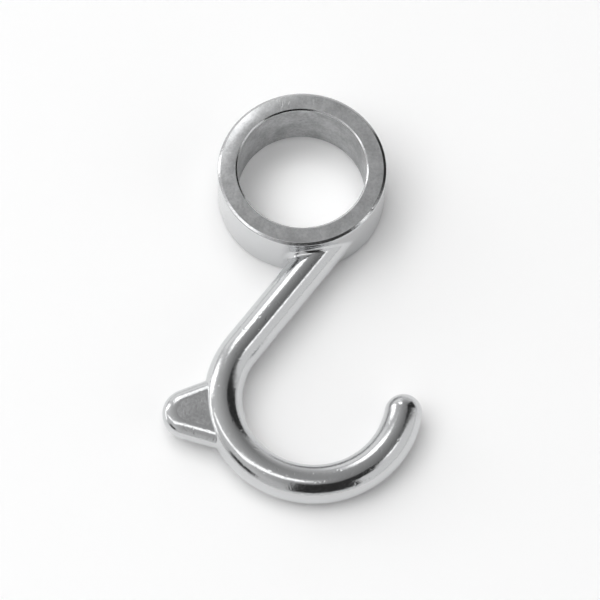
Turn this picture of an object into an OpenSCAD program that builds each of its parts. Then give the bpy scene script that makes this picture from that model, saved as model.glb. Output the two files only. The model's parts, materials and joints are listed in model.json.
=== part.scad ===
// Pipe display hook: a ring that slides on a round display pipe, a slanting
// round shank, an open round bowl with a domed tip, and a flat tongue on the
// back of the bowl. It is cast in one piece, so it is one solid.
// Z is the axis of the ring's bore, and the origin is at the bore's centre.
// The shank runs down towards -Y, the tip is on the +X side and the tongue on
// the -X side. Everything is centred on the plane z = 0.

/* [Ring] */
// Diameter of the bore that the pipe passes through
ring_bore = 26; // [18:0.1:40]
// Thickness of the ring's wall
ring_wall = 4; // [3:0.1:7]
// Height of the ring along the bore
ring_h = 12.5; // [10:0.1:24]
// Rounding of the ring's four edges
ring_edge = 0.4; // [0.2:0.05:1.2]

/* [Shank] */
// Diameter of the round bar that forms the shank and the bowl
bar_d = 7.7; // [6:0.1:9]
// Angle of the shank to the X axis
shank_angle = 54.8; // [50:0.1:60]
// Distance at which the line of the shank passes the ring's axis
shank_offset = 12.6; // [10:0.1:12.8]

/* [Bowl] */
// Clear diameter inside the bowl, where things hang
bowl_clear = 28; // [24:0.1:34]
// Distance of the bowl's centre below the ring's centre
bowl_drop = 47.4; // [42:0.1:60]
// Angle below the X axis at which the bar ends in its dome
tip_angle = 7.5; // [0:0.5:30]

/* [Tongue] */
// Thickness of the tongue
tongue_t = 5; // [3.8:0.1:5.6]
// Rounding of the tongue's edges
tongue_edge = 1.8; // [0.5:0.05:1.85]
// How far the tongue stands out past the bar
tongue_out = 8.3; // [6:0.1:12]
// Radius of the tongue's round end
tongue_tip_r = 5.1; // [4:0.1:6]
// Place of the round end, as an angle around the bowl
tongue_at = 189.3; // [184:0.1:194]
// Direction that the tongue points in
tongue_aim = 184.7; // [180:0.1:190]
// Slant of each side of the tongue to its own direction
tongue_taper = 19.5; // [10:0.1:24]

/* [Hidden] */
$fn = 160;

bar_r = bar_d / 2;
bore_r = ring_bore / 2;
ring_r = bore_r + ring_wall;
bowl_r = bowl_clear / 2 + bar_r;

// The shank's line touches the bowl's circle, which sets the bowl's X place
shank_dir = [cos(shank_angle), sin(shank_angle)];
shank_side = [-sin(shank_angle), cos(shank_angle)];
bowl_x = (shank_offset + bowl_r - bowl_drop * shank_side.y) / shank_dir.y;
bowl_c = [bowl_x, -bowl_drop];
shank_low = bowl_c + bowl_r * shank_side;
shank_top = -shank_offset * shank_side;
shank_len = norm(shank_top - shank_low);

// The dome is this much fuller than the bar, so that it takes in the bar's end edge
dome_swell = 0.03;

// The bar bends from the shank, round the bottom, to the tip
bend_from = shank_angle + 90;
bend_to = 360 - tip_angle;

// The tongue's round end, placed from the bowl's centre
tongue_dist = bowl_r + bar_r + tongue_out - tongue_tip_r;
tongue_c = bowl_c + tongue_dist * [cos(tongue_at), sin(tongue_at)];

// Angle of one side of the tongue, from its round end towards the bar
function side_angle(s) = tongue_aim + 180 + s * tongue_taper;

// The same side as a line from the round end, long enough to reach into the bar
function side_line(s) = tongue_dist * [cos(side_angle(s)), sin(side_angle(s))];

// Rectangle from x = 0 to x = w, with both corners at x = w rounded
module edged_strip(w, h, r) {
    translate([0, -h / 2]) square([w - r, h]);
    translate([0, r - h / 2]) square([w, h - 2 * r]);
    for (y = [-1, 1]) translate([w - r, y * (h / 2 - r)]) circle(r);
}

// Rectangle from x = a to x = b with all four corners rounded
module edged_box(a, b, h, r) {
    translate([a + r, -h / 2]) square([b - a - 2 * r, h]);
    translate([a, r - h / 2]) square([b - a, h - 2 * r]);
    for (x = [a + r, b - r], y = [-1, 1]) translate([x, y * (h / 2 - r)]) circle(r);
}

module ring() {
    rotate_extrude() edged_box(bore_r, ring_r, ring_h, ring_edge);
}

// Shank and bowl: one round bar, straight and then bent, cut off inside the ring's wall
module bar() {
    difference() {
        translate([bowl_c.x, bowl_c.y, 0]) rotate([0, 0, bend_from]) {
            rotate_extrude(angle = bend_to - bend_from)
                translate([bowl_r, 0]) circle(bar_r);
            translate([bowl_r, 0, 0]) rotate([90, 0, 0])
                cylinder(h = shank_len, r = bar_r);
        }
        cylinder(h = ring_h, r = bore_r + ring_wall / 2, center = true);
    }
}

// Round end of the bar
module dome() {
    translate([bowl_c.x, bowl_c.y, 0]) rotate([0, 0, bend_to]) translate([bowl_r, 0, 0])
        sphere(bar_r + dome_swell);
}

// One side of the tongue, from its round end
module tongue_side(s) {
    rotate([0, 0, side_angle(s)]) rotate([90, 0, 90])
        linear_extrude(tongue_dist) scale([s, 1])
            edged_strip(tongue_tip_r, tongue_t, tongue_edge);
}

// Flat tongue with rounded edges, cut off inside the bar
module tongue() {
    difference() {
        translate([tongue_c.x, tongue_c.y, 0]) {
            rotate_extrude() edged_strip(tongue_tip_r, tongue_t, tongue_edge);
            for (s = [-1, 1]) tongue_side(s);
            linear_extrude(tongue_t, center = true)
                polygon([[0, 0], side_line(-1), side_line(1)]);
        }
        translate([bowl_c.x, bowl_c.y, 0]) cylinder(h = bar_d, r = bowl_r, center = true);
    }
}

module pipe_hook() {
    color("silver") {
        ring();
        bar();
        dome();
        tongue();
    }
}

pipe_hook();
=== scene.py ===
import json
import math
import bpy
from mathutils import Matrix, Vector


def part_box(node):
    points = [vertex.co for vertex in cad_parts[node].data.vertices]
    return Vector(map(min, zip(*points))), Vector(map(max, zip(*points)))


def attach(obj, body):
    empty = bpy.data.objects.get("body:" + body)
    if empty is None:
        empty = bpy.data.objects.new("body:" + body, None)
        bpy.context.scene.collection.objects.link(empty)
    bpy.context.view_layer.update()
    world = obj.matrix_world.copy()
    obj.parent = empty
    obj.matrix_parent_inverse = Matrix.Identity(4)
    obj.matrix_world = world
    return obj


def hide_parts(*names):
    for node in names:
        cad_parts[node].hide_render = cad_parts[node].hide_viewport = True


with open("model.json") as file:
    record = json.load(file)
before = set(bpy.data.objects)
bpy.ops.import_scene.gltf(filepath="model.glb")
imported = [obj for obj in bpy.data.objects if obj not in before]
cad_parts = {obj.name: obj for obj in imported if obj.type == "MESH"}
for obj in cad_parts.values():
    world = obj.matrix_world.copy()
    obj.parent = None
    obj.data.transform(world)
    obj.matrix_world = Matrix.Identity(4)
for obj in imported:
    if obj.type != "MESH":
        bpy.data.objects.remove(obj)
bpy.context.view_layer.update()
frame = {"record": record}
scene = bpy.context.scene
mm = 0.001
up = Vector((0, 0, 1))


def deselectAll():
    bpy.ops.object.select_all(action="DESELECT")


# sRGB hex to the linear colour that a shader takes
def hexColor(code):
    parts = [int(code[i:i + 2], 16) / 255 for i in (1, 3, 5)]
    return [c / 12.92 if c <= 0.04045 else ((c + 0.055) / 1.055) ** 2.4 for c in parts] + [1.0]


# adds one node: settings by keyword, inputs by name or number, set or linked
def addNode(tree, kind, inputs=None, **settings):
    node = tree.nodes.new(kind)
    for name, value in settings.items():
        setattr(node, name, value)
    for name, value in (inputs or {}).items():
        if isinstance(value, bpy.types.NodeSocket):
            tree.links.new(value, node.inputs[name])
        else:
            node.inputs[name].default_value = value
    return node


def newMaterial(name):
    mat = bpy.data.materials.new(name)
    mat.use_nodes = True
    mat.node_tree.nodes.clear()
    return mat, mat.node_tree


def flatDir(degrees):
    a = math.radians(degrees)
    return Vector((math.cos(a), math.sin(a), 0))


def flatAngle(v):
    return math.degrees(math.atan2(v.y, v.x))


def mix(a, b, t):
    return a + (b - a) * t


# The casting, in mm and degrees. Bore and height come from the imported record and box
pipeBore = next(m for m in frame["record"]["mounts"] if m["name"] == "pipe_bore")
casting = {
    "boreR": pipeBore["dims"]["r_mm"],
    "ringWall": 4.0,
    "ringHalf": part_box("pipe_hook")[1][2] / mm,
    # the ring's edges are broken: a small round, a slope of this tilt and length, a second round
    "outerEdge": {"tilt": 24.0, "faceRound": 0.2, "slope": 0.45, "wallRound": 0.25},
    "innerEdge": {"tilt": 31.0, "faceRound": 0.1, "slope": 0.30, "wallRound": 0.16},
    "barR": 3.845,             # a hair under the solid's bar, so that the skin stays inside its box
    "shankAngle": 54.8,
    "shankOffset": 12.6,
    "bowlClear": 28.0,
    "bowlDrop": 47.4,
    "tipAngle": 7.0,
    "tipR": 3.72,              # the bar thins a little just before its dome
    "tipTaper": 16.0,          # part of the bend over which it thins
    "tongueHalf": 2.5,
    "tongueEdge": (2.9, 2.1),  # rounding across and down: slow near the flat, as its broad bright band shows
    "tongueOut": 8.3,
    "tongueTipR": 5.1,
    "tongueAt": 189.3,
    "tongueAim": 184.7,
    "tongueTaper": 19.5,
    "faceFall": 0.55,          # the ring's upper face was buffed low towards its rim on one side
    "faceFallPower": 2.4,
    "faceFallAt": 148.0,
    "faceFallSpread": 50.0,
    "ringFillet": 1.1,         # where the shank leaves the ring
    "tongueFillet": 0.55,      # where the tongue leaves the bar
}
# How finely the skin is divided
steps = {
    "barSides": 96,
    "shank": 20,
    "bend": 120,
    "dome": 14,
    "fillet": 7,
    "patch": 6,
    "patchMargin": 5.0,        # degrees of ring wall on each side of the shank's fillet
    "ringAround": 150,
    "wall": 12,
    "flat": 8,
    "faceRound": 3,
    "wallRound": 6,
    "tongueEdge": 16,
    "tongueWall": 12,
    "tongueFlat": 14,
    "tongueRun": 8,
    "tongueEnd": 36,
}
zones = {"polished": 0, "ringFace": 1, "bore": 2, "tongueFace": 3}

ringR = casting["boreR"] + casting["ringWall"]
barR = casting["barR"]
bowlR = casting["bowlClear"] / 2 + barR
shankDir = flatDir(casting["shankAngle"])
shankRight = flatDir(casting["shankAngle"] - 90)
bowlX = (casting["shankOffset"] + bowlR + casting["bowlDrop"] * shankRight.y) / shankDir.y
bowlCenter = Vector((bowlX, -casting["bowlDrop"], 0))
bendFrom = casting["shankAngle"] + 90
bendTo = 360 - casting["tipAngle"]

# The plate is a mirror and shows any break in its fillets, so they aren't bevels on cut edges:
# the skin is laid point by point from the sizes above, each point with its true normal
skin = {"points": [], "normals": [], "faces": [], "zones": []}


def addPoint(point, normal):
    skin["points"].append(point * mm)
    skin["normals"].append(normal.normalized())
    return len(skin["points"]) - 1


def addFace(corners, zone):
    skin["faces"].append(corners)
    skin["zones"].append(zones[zone])


# fills the strip of quads between each row of points and the next
def joinRows(rows, zone, closed):
    for a, b in zip(rows, rows[1:]):
        count = len(a) if closed else len(a) - 1
        for i in range(count):
            j = (i + 1) % len(a)
            addFace((a[i], a[j], b[j], b[i]), zone)


# points of a fillet's arc about the middle of the ball that rolls along it
def filletArc(ball, radius, fromDir, toDir, count):
    whole = fromDir.angle(toDir)
    points = []
    for k in range(1, count):
        t = k / count
        d = (fromDir * math.sin((1 - t) * whole) + toDir * math.sin(t * whole)) / math.sin(whole)
        points.append(addPoint(ball + d * radius, -d))
    return points


# Broken edge of the ring, from face to wall: inset from the wall, drop from the face, tilt of the normal
def edgeShape(tilt, faceRound, slope, wallRound):
    path = []
    r = z = 0.0
    rounds = ((faceRound, 0, tilt, steps["faceRound"]), (wallRound, tilt, 90, steps["wallRound"]))
    for radius, start, end, count in rounds:
        b = math.radians(start)
        for k in range(count + 1):
            a = math.radians(mix(start, end, k / count))
            path.append((r + radius * (math.sin(a) - math.sin(b)),
                         z + radius * (math.cos(b) - math.cos(a)), a))
        r, z, a = path[-1]
        if end == tilt:
            r += slope * math.cos(a)
            z += slope * math.sin(a)
    across = path[-1][0]
    return [(across - r, z, a) for r, z, a in path]


outerEdge = edgeShape(**casting["outerEdge"])
innerEdge = edgeShape(**casting["innerEdge"])


# Ring's section without the outer wall: radius, height, the normal's two parts, and the zone that follows
def ringProfile():
    half = casting["ringHalf"]
    inner = casting["boreR"]
    line = []

    # sideOut is 1 on the outer wall and -1 in the bore, top is 1 above and -1 below
    def corner(r, sideOut, top, towardFace):
        edge = outerEdge if sideOut > 0 else innerEdge
        for inset, drop, a in edge[::-1] if towardFace else edge:
            line.append((r - sideOut * inset, top * (half - drop), sideOut * math.sin(a),
                         top * math.cos(a), "polished"))

    def run(endR, endZ, count, zone):
        r, z, nr, nz, _ = line[-1]
        line[-1] = (r, z, nr, nz, zone)
        for k in range(1, count):
            t = k / count
            line.append((mix(r, endR, t), mix(z, endZ, t), nr, nz, zone))

    corner(ringR, 1, 1, True)
    run(inner + innerEdge[0][0], half, steps["flat"], "ringFace")
    corner(inner, -1, 1, False)
    run(inner, innerEdge[-1][1] - half, steps["wall"], "bore")
    corner(inner, -1, -1, True)
    run(ringR - outerEdge[0][0], -half, steps["flat"], "ringFace")
    corner(ringR, 1, -1, False)
    return line


# The shank's fillet on the ring, for one side of the bar: its ball, and the ways to bar and ring from it
def shankBall(side):
    rf = casting["ringFillet"]
    a = 2 * math.pi * side / steps["barSides"]
    out = shankRight * math.cos(a) + up * math.sin(a)
    across = casting["shankOffset"] + (barR + rf) * math.cos(a)
    along = -math.sqrt((ringR + rf) ** 2 - across ** 2)
    axis = shankRight * casting["shankOffset"] + shankDir * along
    ball = axis + out * (barR + rf)
    radial = Vector((ball.x, ball.y, 0)).normalized()
    return {"out": out, "along": along, "axis": axis, "ball": ball, "radial": radial}


shankBalls = [shankBall(i) for i in range(steps["barSides"])]


def makeRing():
    wallTop = casting["ringHalf"] - outerEdge[-1][1]
    spots = [flatAngle(b["radial"]) for b in shankBalls]
    patchFrom = max(spots) + steps["patchMargin"]      # right edge of the patch round the shank
    patchTo = min(spots) - steps["patchMargin"]        # left edge
    across = steps["barSides"] // 2 - steps["wall"]
    angles = [mix(patchFrom, patchTo, k / across) for k in range(across + 1)]
    rest = 360 - (patchFrom - patchTo)
    angles += [patchTo - rest * k / steps["ringAround"] for k in range(1, steps["ringAround"])]

    # the section is turned about the bore, and its upper face falls towards the rim on one side
    profile = ringProfile()
    power = casting["faceFallPower"]
    columns = []
    for angle in angles:
        d = flatDir(angle)
        away = (angle - casting["faceFallAt"] + 180) % 360 - 180
        fall = casting["faceFall"] * math.exp(-(away / casting["faceFallSpread"]) ** 2)
        column = []
        for r, z, nr, nz, _ in profile:
            t = max(r - casting["boreR"], 0) / casting["ringWall"] if z > 0 else 0
            slope = power * fall * t ** (power - 1) / casting["ringWall"]
            column.append(addPoint(d * r + up * (z - fall * t ** power), d * (nr + slope * nz) + up * nz))
        columns.append(column)
    for a, b in zip(columns, columns[1:] + columns[:1]):
        for k in range(len(profile) - 1):
            addFace((a[k], b[k], b[k + 1], a[k + 1]), profile[k][4])

    # plain part of the outer wall, from the patch's left edge round to its right edge
    walls = []
    for i in list(range(across, len(angles))) + [0]:
        d = flatDir(angles[i])
        middle = [addPoint(d * ringR + up * mix(wallTop, -wallTop, k / steps["wall"]), d)
                  for k in range(1, steps["wall"])]
        walls.append([columns[i][0]] + middle + [columns[i][-1]])
    joinRows(walls, "polished", False)

    # patch: its frame starts at the middle of the right edge and runs up, as the bar's sides do
    right = walls[-1]
    left = walls[0]
    half = steps["wall"] // 2
    frameRow = [right[k] for k in range(half, -1, -1)]
    frameRow += [columns[k][0] for k in range(1, across)]
    frameRow += left
    frameRow += [columns[k][-1] for k in range(across - 1, 0, -1)]
    frameRow += [right[k] for k in range(steps["wall"], half, -1)]
    hole = [addPoint(b["radial"] * ringR + up * b["ball"].z, b["radial"]) for b in shankBalls]
    rows = [hole]
    for k in range(1, steps["patch"]):
        t = k / steps["patch"]
        row = []
        for i, corner in enumerate(frameRow):
            edge = skin["points"][corner] / mm
            d = flatDir(mix(spots[i], flatAngle(edge), t))
            row.append(addPoint(d * ringR + up * mix(shankBalls[i]["ball"].z, edge.z, t), d))
        rows.append(row)
    rows.append(frameRow)
    joinRows(rows, "polished", True)
    print("ring laid")
    return hole


# Bar: radius of its section and its points at one angle of the bend
def barRadius(bend):
    t = (bend - (bendTo - casting["tipTaper"])) / casting["tipTaper"]
    t = min(max(t, 0), 1)
    return mix(barR, casting["tipR"], t * t * (3 - 2 * t))


def barPoint(bend, sideAngle):
    out = flatDir(bend)
    a = math.radians(sideAngle)
    d = up * math.sin(a) - out * math.cos(a)
    return bowlCenter + out * bowlR + d * barRadius(bend), d


# one side of the tongue: the way along it to the bar, and the way out of it
def tongueSide(s):
    angle = casting["tongueAim"] + 180 + s * casting["tongueTaper"]
    return {"run": flatDir(angle), "out": flatDir(angle + s * 90)}


edgeCount = 2 * steps["tongueEdge"] + steps["tongueWall"]


# one point of the tongue's edge: n counts from the top flat, over the edge, to the bottom flat
def edgePoint(out, n):
    across, down = casting["tongueEdge"]
    h = casting["tongueHalf"] - down
    if n <= steps["tongueEdge"]:
        a = math.radians(90 - 90 * n / steps["tongueEdge"])
        z = h
    elif n < steps["tongueEdge"] + steps["tongueWall"]:
        a = 0.0
        z = mix(h, -h, (n - steps["tongueEdge"]) / steps["tongueWall"])
    else:
        a = math.radians(-90 * (n - steps["tongueEdge"] - steps["tongueWall"]) / steps["tongueEdge"])
        z = -h
    rounding = out * (across * math.cos(a)) + up * (down * math.sin(a))
    normal = (out * (math.cos(a) / across) + up * (math.sin(a) / down)).normalized()
    return out * (casting["tongueTipR"] - across) + up * z + rounding, normal


# where a ball between the tongue and the bar sits, for a line along the tongue's side
def tongueBall(tip, offset, normal, run):
    rf = casting["tongueFillet"]
    start = tip + offset + normal * rf - bowlCenter
    reach = bowlR + math.sqrt((barR + rf) ** 2 - start.z ** 2)
    flat = Vector((start.x, start.y, 0))
    along = flat.dot(run)
    length = -along - math.sqrt(along ** 2 - flat.length_squared + reach ** 2)
    return bowlCenter + start + run * length, length


def barNormal(ball):
    out = Vector((ball.x - bowlCenter.x, ball.y - bowlCenter.y, 0)).normalized()
    return (ball - bowlCenter - out * bowlR).normalized()


def makeTongue():
    rf = casting["tongueFillet"]
    reach = bowlR + barR + casting["tongueOut"] - casting["tongueTipR"]
    tip = bowlCenter + flatDir(casting["tongueAt"]) * reach
    sides = {"upper": tongueSide(1), "lower": tongueSide(-1)}
    balls = {}
    strips = {}
    for name, side in sides.items():
        balls[name] = []
        base = []
        for n in range(edgeCount + 1):
            offset, normal = edgePoint(side["out"], n)
            ball, length = tongueBall(tip, offset, normal, side["run"])
            balls[name].append((ball, normal))
            base.append((offset, normal, length))
        strips[name] = [
            [addPoint(tip + o + side["run"] * length * (1 - k / steps["tongueRun"]), normal)
             for o, normal, length in base]
            for k in range(steps["tongueRun"])]
    turnFrom = flatAngle(sides["upper"]["out"]) % 360
    turnTo = flatAngle(sides["lower"]["out"]) % 360
    end = []
    for k in range(steps["tongueEnd"] + 1):
        out = flatDir(mix(turnFrom, turnTo, k / steps["tongueEnd"]))
        row = [edgePoint(out, n) for n in range(edgeCount + 1)]
        end.append([addPoint(tip + offset, normal) for offset, normal in row])
    rows = strips["upper"] + end + strips["lower"][::-1]
    joinRows(rows, "polished", False)

    # fillet balls along the root of one flat, between those of the two sides
    def flatBalls(n, sign):
        first = balls["upper"][n][0] - bowlCenter
        last = balls["lower"][n][0] - bowlCenter
        a0 = flatAngle(first) % 360
        a1 = flatAngle(last) % 360
        far = math.hypot(first.x, first.y)
        found = []
        for k in range(1, steps["tongueFlat"]):
            d = flatDir(mix(a0, a1, k / steps["tongueFlat"]))
            found.append((bowlCenter + d * far + up * first.z, up * sign))
        return found

    topBalls = flatBalls(0, 1)
    bottomBalls = flatBalls(edgeCount, -1)
    topBase = [addPoint(b - n * rf, n) for b, n in topBalls]
    bottomBase = [addPoint(b - n * rf, n) for b, n in bottomBalls]
    addFace([row[0] for row in rows] + topBase[::-1], "tongueFace")
    addFace([row[-1] for row in rows][::-1] + bottomBase, "tongueFace")

    # the loop of fillet balls starts at the middle of the upper side and runs up over the top
    middle = edgeCount // 2
    upperLoop = list(zip(balls["upper"], strips["upper"][0]))
    loop = upperLoop[middle::-1]
    loop += zip(topBalls, topBase)
    loop += zip(balls["lower"], strips["lower"][0])
    loop += list(zip(bottomBalls, bottomBase))[::-1]
    loop += upperLoop[:middle:-1]
    contact = []
    arcs = []
    for (ball, normal), _ in loop:
        d = barNormal(ball)
        arcs.append(filletArc(ball, rf, -normal, -d, steps["fillet"]))
        contact.append((ball - d * rf, d))
    hole = [addPoint(p, d) for p, d in contact]
    joinRows([[index for _, index in loop]] + list(zip(*arcs)) + [hole], "polished", True)
    print("tongue laid")
    return hole


# place of a point of the bar's skin as bend angle and side angle, in degrees
def onBar(index):
    p = skin["points"][index] / mm - bowlCenter
    side = math.degrees(math.atan2(p.z, bowlR - math.hypot(p.x, p.y))) % 360
    return flatAngle(p) % 360, side


def makeBar(ringHole, tongueHole):
    rf = casting["ringFillet"]
    sides = steps["barSides"]
    start = [addPoint(b["axis"] + b["out"] * barR, b["out"]) for b in shankBalls]
    arcs = [filletArc(b["ball"], rf, -b["out"], -b["radial"], steps["fillet"]) for b in shankBalls]
    joinRows([start] + list(zip(*arcs)) + [ringHole], "polished", True)

    # straight shank, then the bend as a grid
    foot = bowlCenter.dot(shankDir)
    rows = [start]
    for k in range(1, steps["shank"]):
        t = k / steps["shank"]
        rows.append([addPoint(b["axis"] + b["out"] * barR + shankDir * (foot - b["along"]) * t, b["out"])
                     for b in shankBalls])
    bends = [mix(bendFrom, bendTo, k / steps["bend"]) for k in range(steps["bend"] + 1)]
    grid = []
    for bend in bends:
        grid.append([addPoint(*barPoint(bend, 360 * i / sides)) for i in range(sides)])
    joinRows(rows + [grid[0]], "polished", True)

    # the tongue's hole sits in a window of the grid that has as many points round it as the hole
    places = [onBar(i) for i in tongueHole]
    high = steps["tongueEdge"] // 2 + steps["tongueWall"] // 2
    long = steps["tongueFlat"] + steps["tongueEdge"]
    middle = (min(p[0] for p in places) + max(p[0] for p in places)) / 2
    first = round((middle - bendFrom) / (bendTo - bendFrom) * steps["bend"] - long / 2)
    last = first + long
    back = sides // 2
    for k in range(steps["bend"]):
        for i in range(sides):
            j = (i + 1) % sides
            if first <= k < last and back - high <= i < back + high:
                continue
            addFace((grid[k][i], grid[k][j], grid[k + 1][j], grid[k + 1][i]), "polished")
    window = [grid[first][i] for i in range(back, back - high, -1)]
    window += [grid[k][back - high] for k in range(first, last)]
    window += [grid[last][i] for i in range(back - high, back + high)]
    window += [grid[k][back + high] for k in range(last, first, -1)]
    window += [grid[first][i] for i in range(back + high, back, -1)]
    around = [onBar(i) for i in window]
    rows = [tongueHole]
    for k in range(1, steps["patch"]):
        t = k / steps["patch"]
        rows.append([addPoint(*barPoint(mix(a[0], b[0], t), mix(a[1], b[1], t)))
                     for a, b in zip(places, around)])
    rows.append(window)
    joinRows(rows, "polished", True)

    # dome on the tip
    center = bowlCenter + flatDir(bendTo) * bowlR
    ahead = flatDir(bendTo + 90)
    rows = [grid[-1]]
    for k in range(1, steps["dome"]):
        a = math.pi / 2 * k / steps["dome"]
        row = []
        for i in range(sides):
            _, d = barPoint(bendTo, 360 * i / sides)
            n = d * math.cos(a) + ahead * math.sin(a)
            row.append(addPoint(center + n * casting["tipR"], n))
        rows.append(row)
    joinRows(rows, "polished", True)
    pole = addPoint(center + ahead * casting["tipR"], ahead)
    for i in range(sides):
        addFace((rows[-1][i], rows[-1][(i + 1) % sides], pole), "polished")
    print("bar laid")


ringHole = makeRing()
tongueHole = makeTongue()
makeBar(ringHole, tongueHole)
print("skin:", len(skin["points"]), "points,", len(skin["faces"]), "faces")


# Chrome plate on polished zinc: a slightly soft mirror, with faint waves, a fine haze of polishing marks
# and a few small dents that catch the light as specks
chrome = {
    "color": "#D2D3D4",
    "rough": 0.15,
    "roughSpread": 0.08,
    "waveMm": 6.0,
    "waveDepthMm": 0.03,
    "markMm": 0.5,             # the real marks are finer; drawn this coarse so that they show
    "markDepthMm": 0.010,
    "hazeRange": (0.3, 0.7),   # part of the marks' noise that spreads the roughness
    "dentMm": 0.8,
    "dentDepthMm": 0.012,
    "dentRange": (0.70, 0.80),  # only the peaks of the noise become dents
}


def makeChrome():
    mat, tree = newMaterial("polished chrome plate")
    place = addNode(tree, "ShaderNodeTexCoord").outputs["Object"]
    wave = addNode(tree, "ShaderNodeTexNoise", {"Vector": place, "Scale": 1 / (chrome["waveMm"] * mm),
                                                "Detail": 1.0})
    marks = addNode(tree, "ShaderNodeTexNoise", {"Vector": place, "Scale": 1 / (chrome["markMm"] * mm),
                                                 "Detail": 2.0})
    waveBump = addNode(tree, "ShaderNodeBump", {"Height": wave.outputs["Fac"],
                                                "Distance": chrome["waveDepthMm"] * mm})
    markBump = addNode(tree, "ShaderNodeBump", {"Height": marks.outputs["Fac"],
                                                "Distance": chrome["markDepthMm"] * mm,
                                                "Normal": waveBump.outputs["Normal"]})
    spots = addNode(tree, "ShaderNodeTexNoise", {"Vector": place, "Scale": 1 / (chrome["dentMm"] * mm),
                                                 "Detail": 0.0})
    dents = addNode(tree, "ShaderNodeMapRange", {"Value": spots.outputs["Fac"],
                                                 "From Min": chrome["dentRange"][0],
                                                 "From Max": chrome["dentRange"][1]})
    dentBump = addNode(tree, "ShaderNodeBump", {"Height": dents.outputs["Result"],
                                                "Distance": chrome["dentDepthMm"] * mm,
                                                "Normal": markBump.outputs["Normal"]}, invert=True)
    haze = addNode(tree, "ShaderNodeMapRange", {"Value": marks.outputs["Fac"],
                                                "From Min": chrome["hazeRange"][0],
                                                "From Max": chrome["hazeRange"][1],
                                                "To Min": chrome["rough"] - chrome["roughSpread"] / 2,
                                                "To Max": chrome["rough"] + chrome["roughSpread"] / 2})
    shader = addNode(tree, "ShaderNodeBsdfPrincipled", {"Base Color": hexColor(chrome["color"]),
                                                        "Metallic": 1.0,
                                                        "Roughness": haze.outputs["Result"],
                                                        "Normal": dentBump.outputs["Normal"]})
    addNode(tree, "ShaderNodeOutputMaterial", {"Surface": shader.outputs["BSDF"]})
    return mat


# Ground faces under the same plate: grinding marks and a few nicks spread and mottle what they mirror
ringFace = {
    "colors": ("#C6C7C8", "#E6E7E8"),
    "rough": 0.28,
    "grainMm": 0.5,            # the real marks are finer; drawn this coarse so that they show
    "grainDepthMm": 0.028,
    "patchMm": 3.0,
    "nickMm": 0.4,
    "nickDepthMm": 0.012,
}
# The bore is as cast and plated, never buffed: duller and greyer
bore = {
    "colors": ("#98999A", "#C0C1C2"),
    "rough": 0.38,
    "grainMm": 0.6,
    "grainDepthMm": 0.025,
    "patchMm": 4.0,
    "nickMm": 0.6,
    "nickDepthMm": 0.006,
}
# The tongue's flats are buffed, with the casting's mottle left under the plate
tongueFace = {
    "colors": ("#CECFD0", "#E8E9EA"),
    "rough": 0.22,
    "grainMm": 0.6,
    "grainDepthMm": 0.010,
    "patchMm": 3.0,
    "nickMm": 0.4,
    "nickDepthMm": 0.010,
}
# What the three have in common
grinding = {
    "toneRange": (0.75, 1.25),  # grain and patches together, from the darker colour to the lighter
    "nickRange": (0.62, 0.72),  # only the peaks of the noise become nicks
    "nickTurn": 35.0,           # way that the nicks run, in degrees
    "nickStretch": 0.25,        # a nick is four times as long as wide
}


def makeGround(name, settings):
    mat, tree = newMaterial(name)
    place = addNode(tree, "ShaderNodeTexCoord").outputs["Object"]
    grain = addNode(tree, "ShaderNodeTexNoise", {"Vector": place, "Scale": 1 / (settings["grainMm"] * mm),
                                                 "Detail": 3.0, "Roughness": 0.65})
    patch = addNode(tree, "ShaderNodeTexNoise", {"Vector": place, "Scale": 1 / (settings["patchMm"] * mm),
                                                 "Detail": 2.0})
    mottle = addNode(tree, "ShaderNodeMath", {0: grain.outputs["Fac"], 1: patch.outputs["Fac"]},
                     operation="ADD")
    tone = addNode(tree, "ShaderNodeMapRange", {"Value": mottle.outputs["Value"],
                                                "From Min": grinding["toneRange"][0],
                                                "From Max": grinding["toneRange"][1]})
    # inputs 6 and 7 are the two colours
    color = addNode(tree, "ShaderNodeMix", {"Factor": tone.outputs["Result"],
                                            6: hexColor(settings["colors"][0]),
                                            7: hexColor(settings["colors"][1])}, data_type="RGBA")
    strokes = addNode(tree, "ShaderNodeMapping", {"Vector": place,
                                                  "Rotation": (0, 0, math.radians(grinding["nickTurn"])),
                                                  "Scale": (1, grinding["nickStretch"], 1)})
    stroke = addNode(tree, "ShaderNodeTexNoise", {"Vector": strokes.outputs["Vector"],
                                                  "Scale": 1 / (settings["nickMm"] * mm), "Detail": 1.0})
    nick = addNode(tree, "ShaderNodeMapRange", {"Value": stroke.outputs["Fac"],
                                                "From Min": grinding["nickRange"][0],
                                                "From Max": grinding["nickRange"][1]})
    bump = addNode(tree, "ShaderNodeBump", {"Height": grain.outputs["Fac"],
                                            "Distance": settings["grainDepthMm"] * mm})
    nickBump = addNode(tree, "ShaderNodeBump", {"Height": nick.outputs["Result"],
                                                "Distance": settings["nickDepthMm"] * mm,
                                                "Normal": bump.outputs["Normal"]}, invert=True)
    shader = addNode(tree, "ShaderNodeBsdfPrincipled", {"Base Color": color.outputs[2], "Metallic": 1.0,
                                                        "Roughness": settings["rough"],
                                                        "Normal": nickBump.outputs["Normal"]})
    addNode(tree, "ShaderNodeOutputMaterial", {"Surface": shader.outputs["BSDF"]})
    return mat


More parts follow.
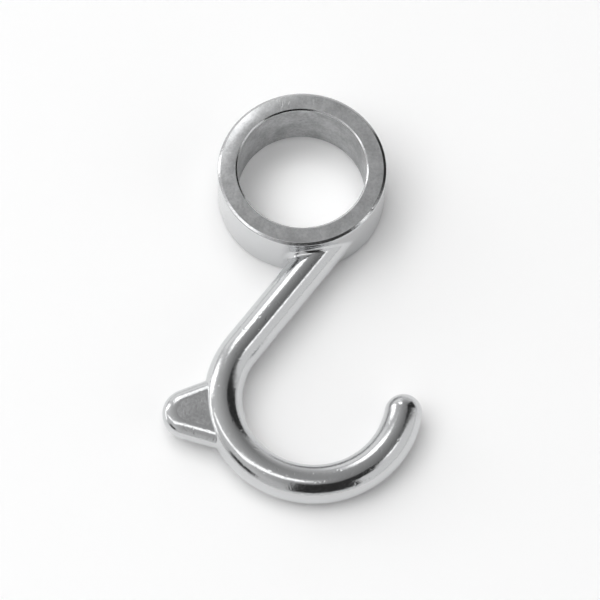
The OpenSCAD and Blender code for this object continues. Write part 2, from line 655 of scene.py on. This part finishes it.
# the materials stand in the order of the zones
mesh = bpy.data.meshes.new("hookCasting")
mesh.from_pydata(skin["points"], [], skin["faces"])
hook = bpy.data.objects.new("hookCasting", mesh)
scene.collection.objects.link(hook)
mesh.materials.append(makeChrome())
mesh.materials.append(makeGround("ground chrome plate", ringFace))
mesh.materials.append(makeGround("dull chrome plate", bore))
mesh.materials.append(makeGround("buffed chrome plate", tongueFace))
mesh.polygons.foreach_set("material_index", skin["zones"])
deselectAll()
hook.select_set(True)
bpy.context.view_layer.objects.active = hook
bpy.ops.object.mode_set(mode="EDIT")
bpy.ops.mesh.select_all(action="SELECT")
bpy.ops.mesh.normals_make_consistent(inside=False)
bpy.ops.mesh.select_all(action="DESELECT")
bpy.ops.mesh.select_non_manifold()
bpy.ops.object.mode_set(mode="OBJECT")
print("open or odd edges:", sum(e.select for e in mesh.edges))
bpy.ops.object.shade_smooth()
mesh.normals_split_custom_set_from_vertices(skin["normals"])
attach(hook, "root")
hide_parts("pipe_hook")
print("casting made")

# Room that the plate mirrors: places in mm, angles in degrees
studio = {
    "floorGap": 0.02,             # keeps the hook's skin clear of the floor
    "floorSize": 8000.0,
    "floorColor": "#FBFBFB",
    "floorRough": 0.6,
    "cardMiddle": (0, -30, 0),    # the upright cards stand round this point
    "cardReach": 1500.0,
    "lowLight": "#D8D8D8",        # room near the table's height
    "highLight": "#9C9C9C",       # ceiling
    "lightRise": (0.15, 0.75),    # heights where the one turns into the other; 1 is straight up
    "ceilingFrom": (0.3, 0.7),    # heights where the ceiling's own slant of light sets in
    "ceilingSides": (-0.6, 0.5),  # from left to right it falls between these two levels
    "ceilingLevels": (1.75, 0.5),
}
# Soft cards: windows, ceiling lamps, and the dark parts of the room. A card has a centre and a facing, or
# it stands upright between two azimuths, from +X towards +Y, and two elevations as seen from the hook
cards = {
    "windowRight": {"center": (-700, 1500, 1680), "facing": (0, -1, 0), "size": (1050, 1500),
                    "glow": 2.3, "soft": 380},
    "windowLeft": {"center": (-2950, 1500, 1250), "facing": (0, -1, 0), "size": (2700, 1600),
                   "glow": 2.4, "soft": 450},
    "backWall": {"azimuths": (93, 137), "elevations": (2, 29), "glow": 0.92, "soft": 130},
    "ceilingLampNear": {"center": (-620, -330, 1500), "facing": (0, 0, -1), "size": (1500, 500),
                        "glow": 2.0, "soft": 230, "spin": -12},
    "ceilingLampFar": {"center": (-2150, 60, 1500), "facing": (0, 0, -1), "size": (2700, 500),
                       "glow": 2.0, "soft": 230, "spin": 21},
    "leftWindow": {"azimuths": (148, 188), "elevations": (2, 16), "glow": 2.0, "soft": 120},
    "darkSide": {"azimuths": (18, 58), "elevations": (9, 60), "glow": 0.03, "soft": 160},
    "darkFront": {"azimuths": (252, 311), "elevations": (13, 69), "glow": 0.03, "soft": 170},
    "darkFrontHigh": {"azimuths": (298, 345), "elevations": (42, 68), "glow": 0.03, "soft": 150},
    "darkLeft": {"azimuths": (200, 228), "elevations": (8, 26), "glow": 0.04, "soft": 90},
    "rightWall": {"azimuths": (-54, 12), "elevations": (3, 52), "glow": 0.80, "soft": 90},
    "rightLamp": {"azimuths": (-25, 5), "elevations": (44, 56), "glow": 1.9, "soft": 280},
}


# a flat card that glows, or stands dark, in the mirror of the plate, and fades out along its edges
def addCard(name, center, facing, size, glow, soft, spin=0.0):
    deselectAll()
    bpy.ops.mesh.primitive_plane_add(size=1.0)
    card = bpy.context.object
    card.name = name
    ahead = Vector(facing).normalized()
    upright = abs(ahead.z) < 0.5
    level = up.cross(ahead).normalized() if upright else Vector((1, 0, 0))
    turn = Matrix((level, ahead.cross(level), ahead)).transposed().to_4x4()
    card.data.transform(Matrix.Translation(Vector(center) * mm) @ turn
                        @ Matrix.Rotation(math.radians(spin), 4, "Z")
                        @ Matrix.Diagonal((size[0] * mm, size[1] * mm, 1, 1)))
    mat, tree = newMaterial(name)
    spread = addNode(tree, "ShaderNodeTexCoord").outputs["UV"]
    split = addNode(tree, "ShaderNodeSeparateXYZ", {"Vector": spread})
    # each way across, the fade grows from the nearer edge, which is at most half the card away
    fades = []
    for axis, length in zip("XY", size):
        edge = addNode(tree, "ShaderNodeMath", {0: split.outputs[axis], 1: 0.5}, operation="PINGPONG")
        fade = addNode(tree, "ShaderNodeMapRange", {"Value": edge.outputs["Value"],
                                                    "From Max": min(soft / length, 0.5)},
                       interpolation_type="SMOOTHSTEP")
        fades.append(fade.outputs["Result"])
    both = addNode(tree, "ShaderNodeMath", {0: fades[0], 1: fades[1]}, operation="MULTIPLY")
    light = addNode(tree, "ShaderNodeEmission", {"Strength": glow})
    clear = addNode(tree, "ShaderNodeBsdfTransparent")
    blend = addNode(tree, "ShaderNodeMixShader", {0: both.outputs["Value"], 1: clear.outputs["BSDF"],
                                                  2: light.outputs["Emission"]})
    addNode(tree, "ShaderNodeOutputMaterial", {"Surface": blend.outputs["Shader"]})
    card.data.materials.append(mat)
    card.visible_camera = False


def addWallCard(name, azimuths, elevations, glow, soft):
    reach = studio["cardReach"]
    d = flatDir(sum(azimuths) / 2)
    width = 2 * reach * math.tan(math.radians((azimuths[1] - azimuths[0]) / 2))
    low, high = [reach * math.tan(math.radians(v)) for v in elevations]
    center = Vector(studio["cardMiddle"]) + d * reach + up * (low + high) / 2
    addCard(name, center, -d, (width, high - low), glow, soft)


for name, card in cards.items():
    if "azimuths" in card:
        addWallCard(name, **card)
    else:
        addCard(name, **card)
print("cards:", len(cards))

# Lamps for the floor and its shadows; the plate doesn't mirror them
softbox = {"place": (-420, 60, 1600), "size": 1900.0, "power": 20.6}
lamp = bpy.data.lights.new("softbox", "AREA")
lamp.size = softbox["size"] * mm
lamp.energy = softbox["power"]
lampObj = bpy.data.objects.new("softbox", lamp)
scene.collection.objects.link(lampObj)
lampPlace = Vector(softbox["place"]) * mm
lampObj.matrix_world = Matrix.Translation(lampPlace) @ lampPlace.to_track_quat("Z", "Y").to_matrix().to_4x4()
lampObj.visible_glossy = False

# the light that a real bore throws down on the table inside the ring
boreGlow = {"place": (3.0, -1.0, 600.0), "spread": 2.6, "blend": 1.0, "radius": 1.0, "power": 3.3}
spot = bpy.data.lights.new("boreGlow", "SPOT")
spot.spot_size = math.radians(boreGlow["spread"])
spot.spot_blend = boreGlow["blend"]
spot.shadow_soft_size = boreGlow["radius"] * mm
spot.energy = boreGlow["power"]
spotObj = bpy.data.objects.new("boreGlow", spot)
scene.collection.objects.link(spotObj)
spotObj.location = Vector(boreGlow["place"]) * mm
spotObj.visible_glossy = False

deselectAll()
bpy.ops.mesh.primitive_plane_add(size=studio["floorSize"] * mm)
floor = bpy.context.object
floor.name = "floor"
# the hook lies on the ring's near edge and the bowl's underside, so the floor slants by this much
ringFoot = Vector((0, outerEdge[0][0] - ringR, -casting["ringHalf"]))
toBowl = Vector((0, bowlCenter.y - bowlR, 0)) - ringFoot
restTilt = math.atan2(toBowl.z, -toBowl.y) - math.asin(barR / toBowl.length)
floor.data.transform(Matrix.Translation((ringFoot - up * studio["floorGap"]) * mm)
                     @ Matrix.Rotation(-restTilt, 4, "X"))
print("floor slants by", round(math.degrees(restTilt), 2), "degrees")
floorMat, floorTree = newMaterial("pale table top")
floorShader = addNode(floorTree, "ShaderNodeBsdfPrincipled", {"Base Color": hexColor(studio["floorColor"]),
                                                             "Roughness": studio["floorRough"]})
addNode(floorTree, "ShaderNodeOutputMaterial", {"Surface": floorShader.outputs["BSDF"]})
floor.data.materials.append(floorMat)

world = bpy.data.worlds.new("room")
scene.world = world
world.use_nodes = True
tree = world.node_tree
tree.nodes.clear()
way = addNode(tree, "ShaderNodeTexCoord").outputs["Generated"]
split = addNode(tree, "ShaderNodeSeparateXYZ", {"Vector": way})
ramp = addNode(tree, "ShaderNodeValToRGB", {"Fac": split.outputs["Z"]})
for stop, place, color in zip(ramp.color_ramp.elements, studio["lightRise"], ("lowLight", "highLight")):
    stop.position = place
    stop.color = hexColor(studio[color])
slant = addNode(tree, "ShaderNodeMapRange", {"Value": split.outputs["X"],
                                             "From Min": studio["ceilingSides"][0],
                                             "From Max": studio["ceilingSides"][1],
                                             "To Min": studio["ceilingLevels"][0],
                                             "To Max": studio["ceilingLevels"][1]})
high = addNode(tree, "ShaderNodeMapRange", {"Value": split.outputs["Z"],
                                            "From Min": studio["ceilingFrom"][0],
                                            "From Max": studio["ceilingFrom"][1]})
level = addNode(tree, "ShaderNodeMix", {0: high.outputs["Result"], 2: 1.0, 3: slant.outputs["Result"]})
back = addNode(tree, "ShaderNodeBackground", {"Color": ramp.outputs["Color"], "Strength": level.outputs[0]})
addNode(tree, "ShaderNodeOutputWorld", {"Surface": back.outputs["Background"]})

# Camera at the photo's angle: it looks down, tilted back from straight above and a little rolled
view = {
    "place": (0.461, -319.27, 674.54),
    "tilt": 23.49,
    "roll": 1.92,
    "lens": 221.3,
    "sensor": 36.0,
    "far": 100.0,
}
camera = bpy.data.cameras.new("camera")
camera.lens = view["lens"]
camera.sensor_width = view["sensor"]
camera.clip_end = view["far"]
cameraObj = bpy.data.objects.new("camera", camera)
scene.collection.objects.link(cameraObj)
cameraObj.matrix_world = (Matrix.Translation(Vector(view["place"]) * mm)
                          @ Matrix.Rotation(math.radians(view["tilt"]), 4, "X")
                          @ Matrix.Rotation(math.radians(view["roll"]), 4, "Z"))
scene.camera = cameraObj
scene.view_settings.view_transform = "Standard"
print("studio ready")
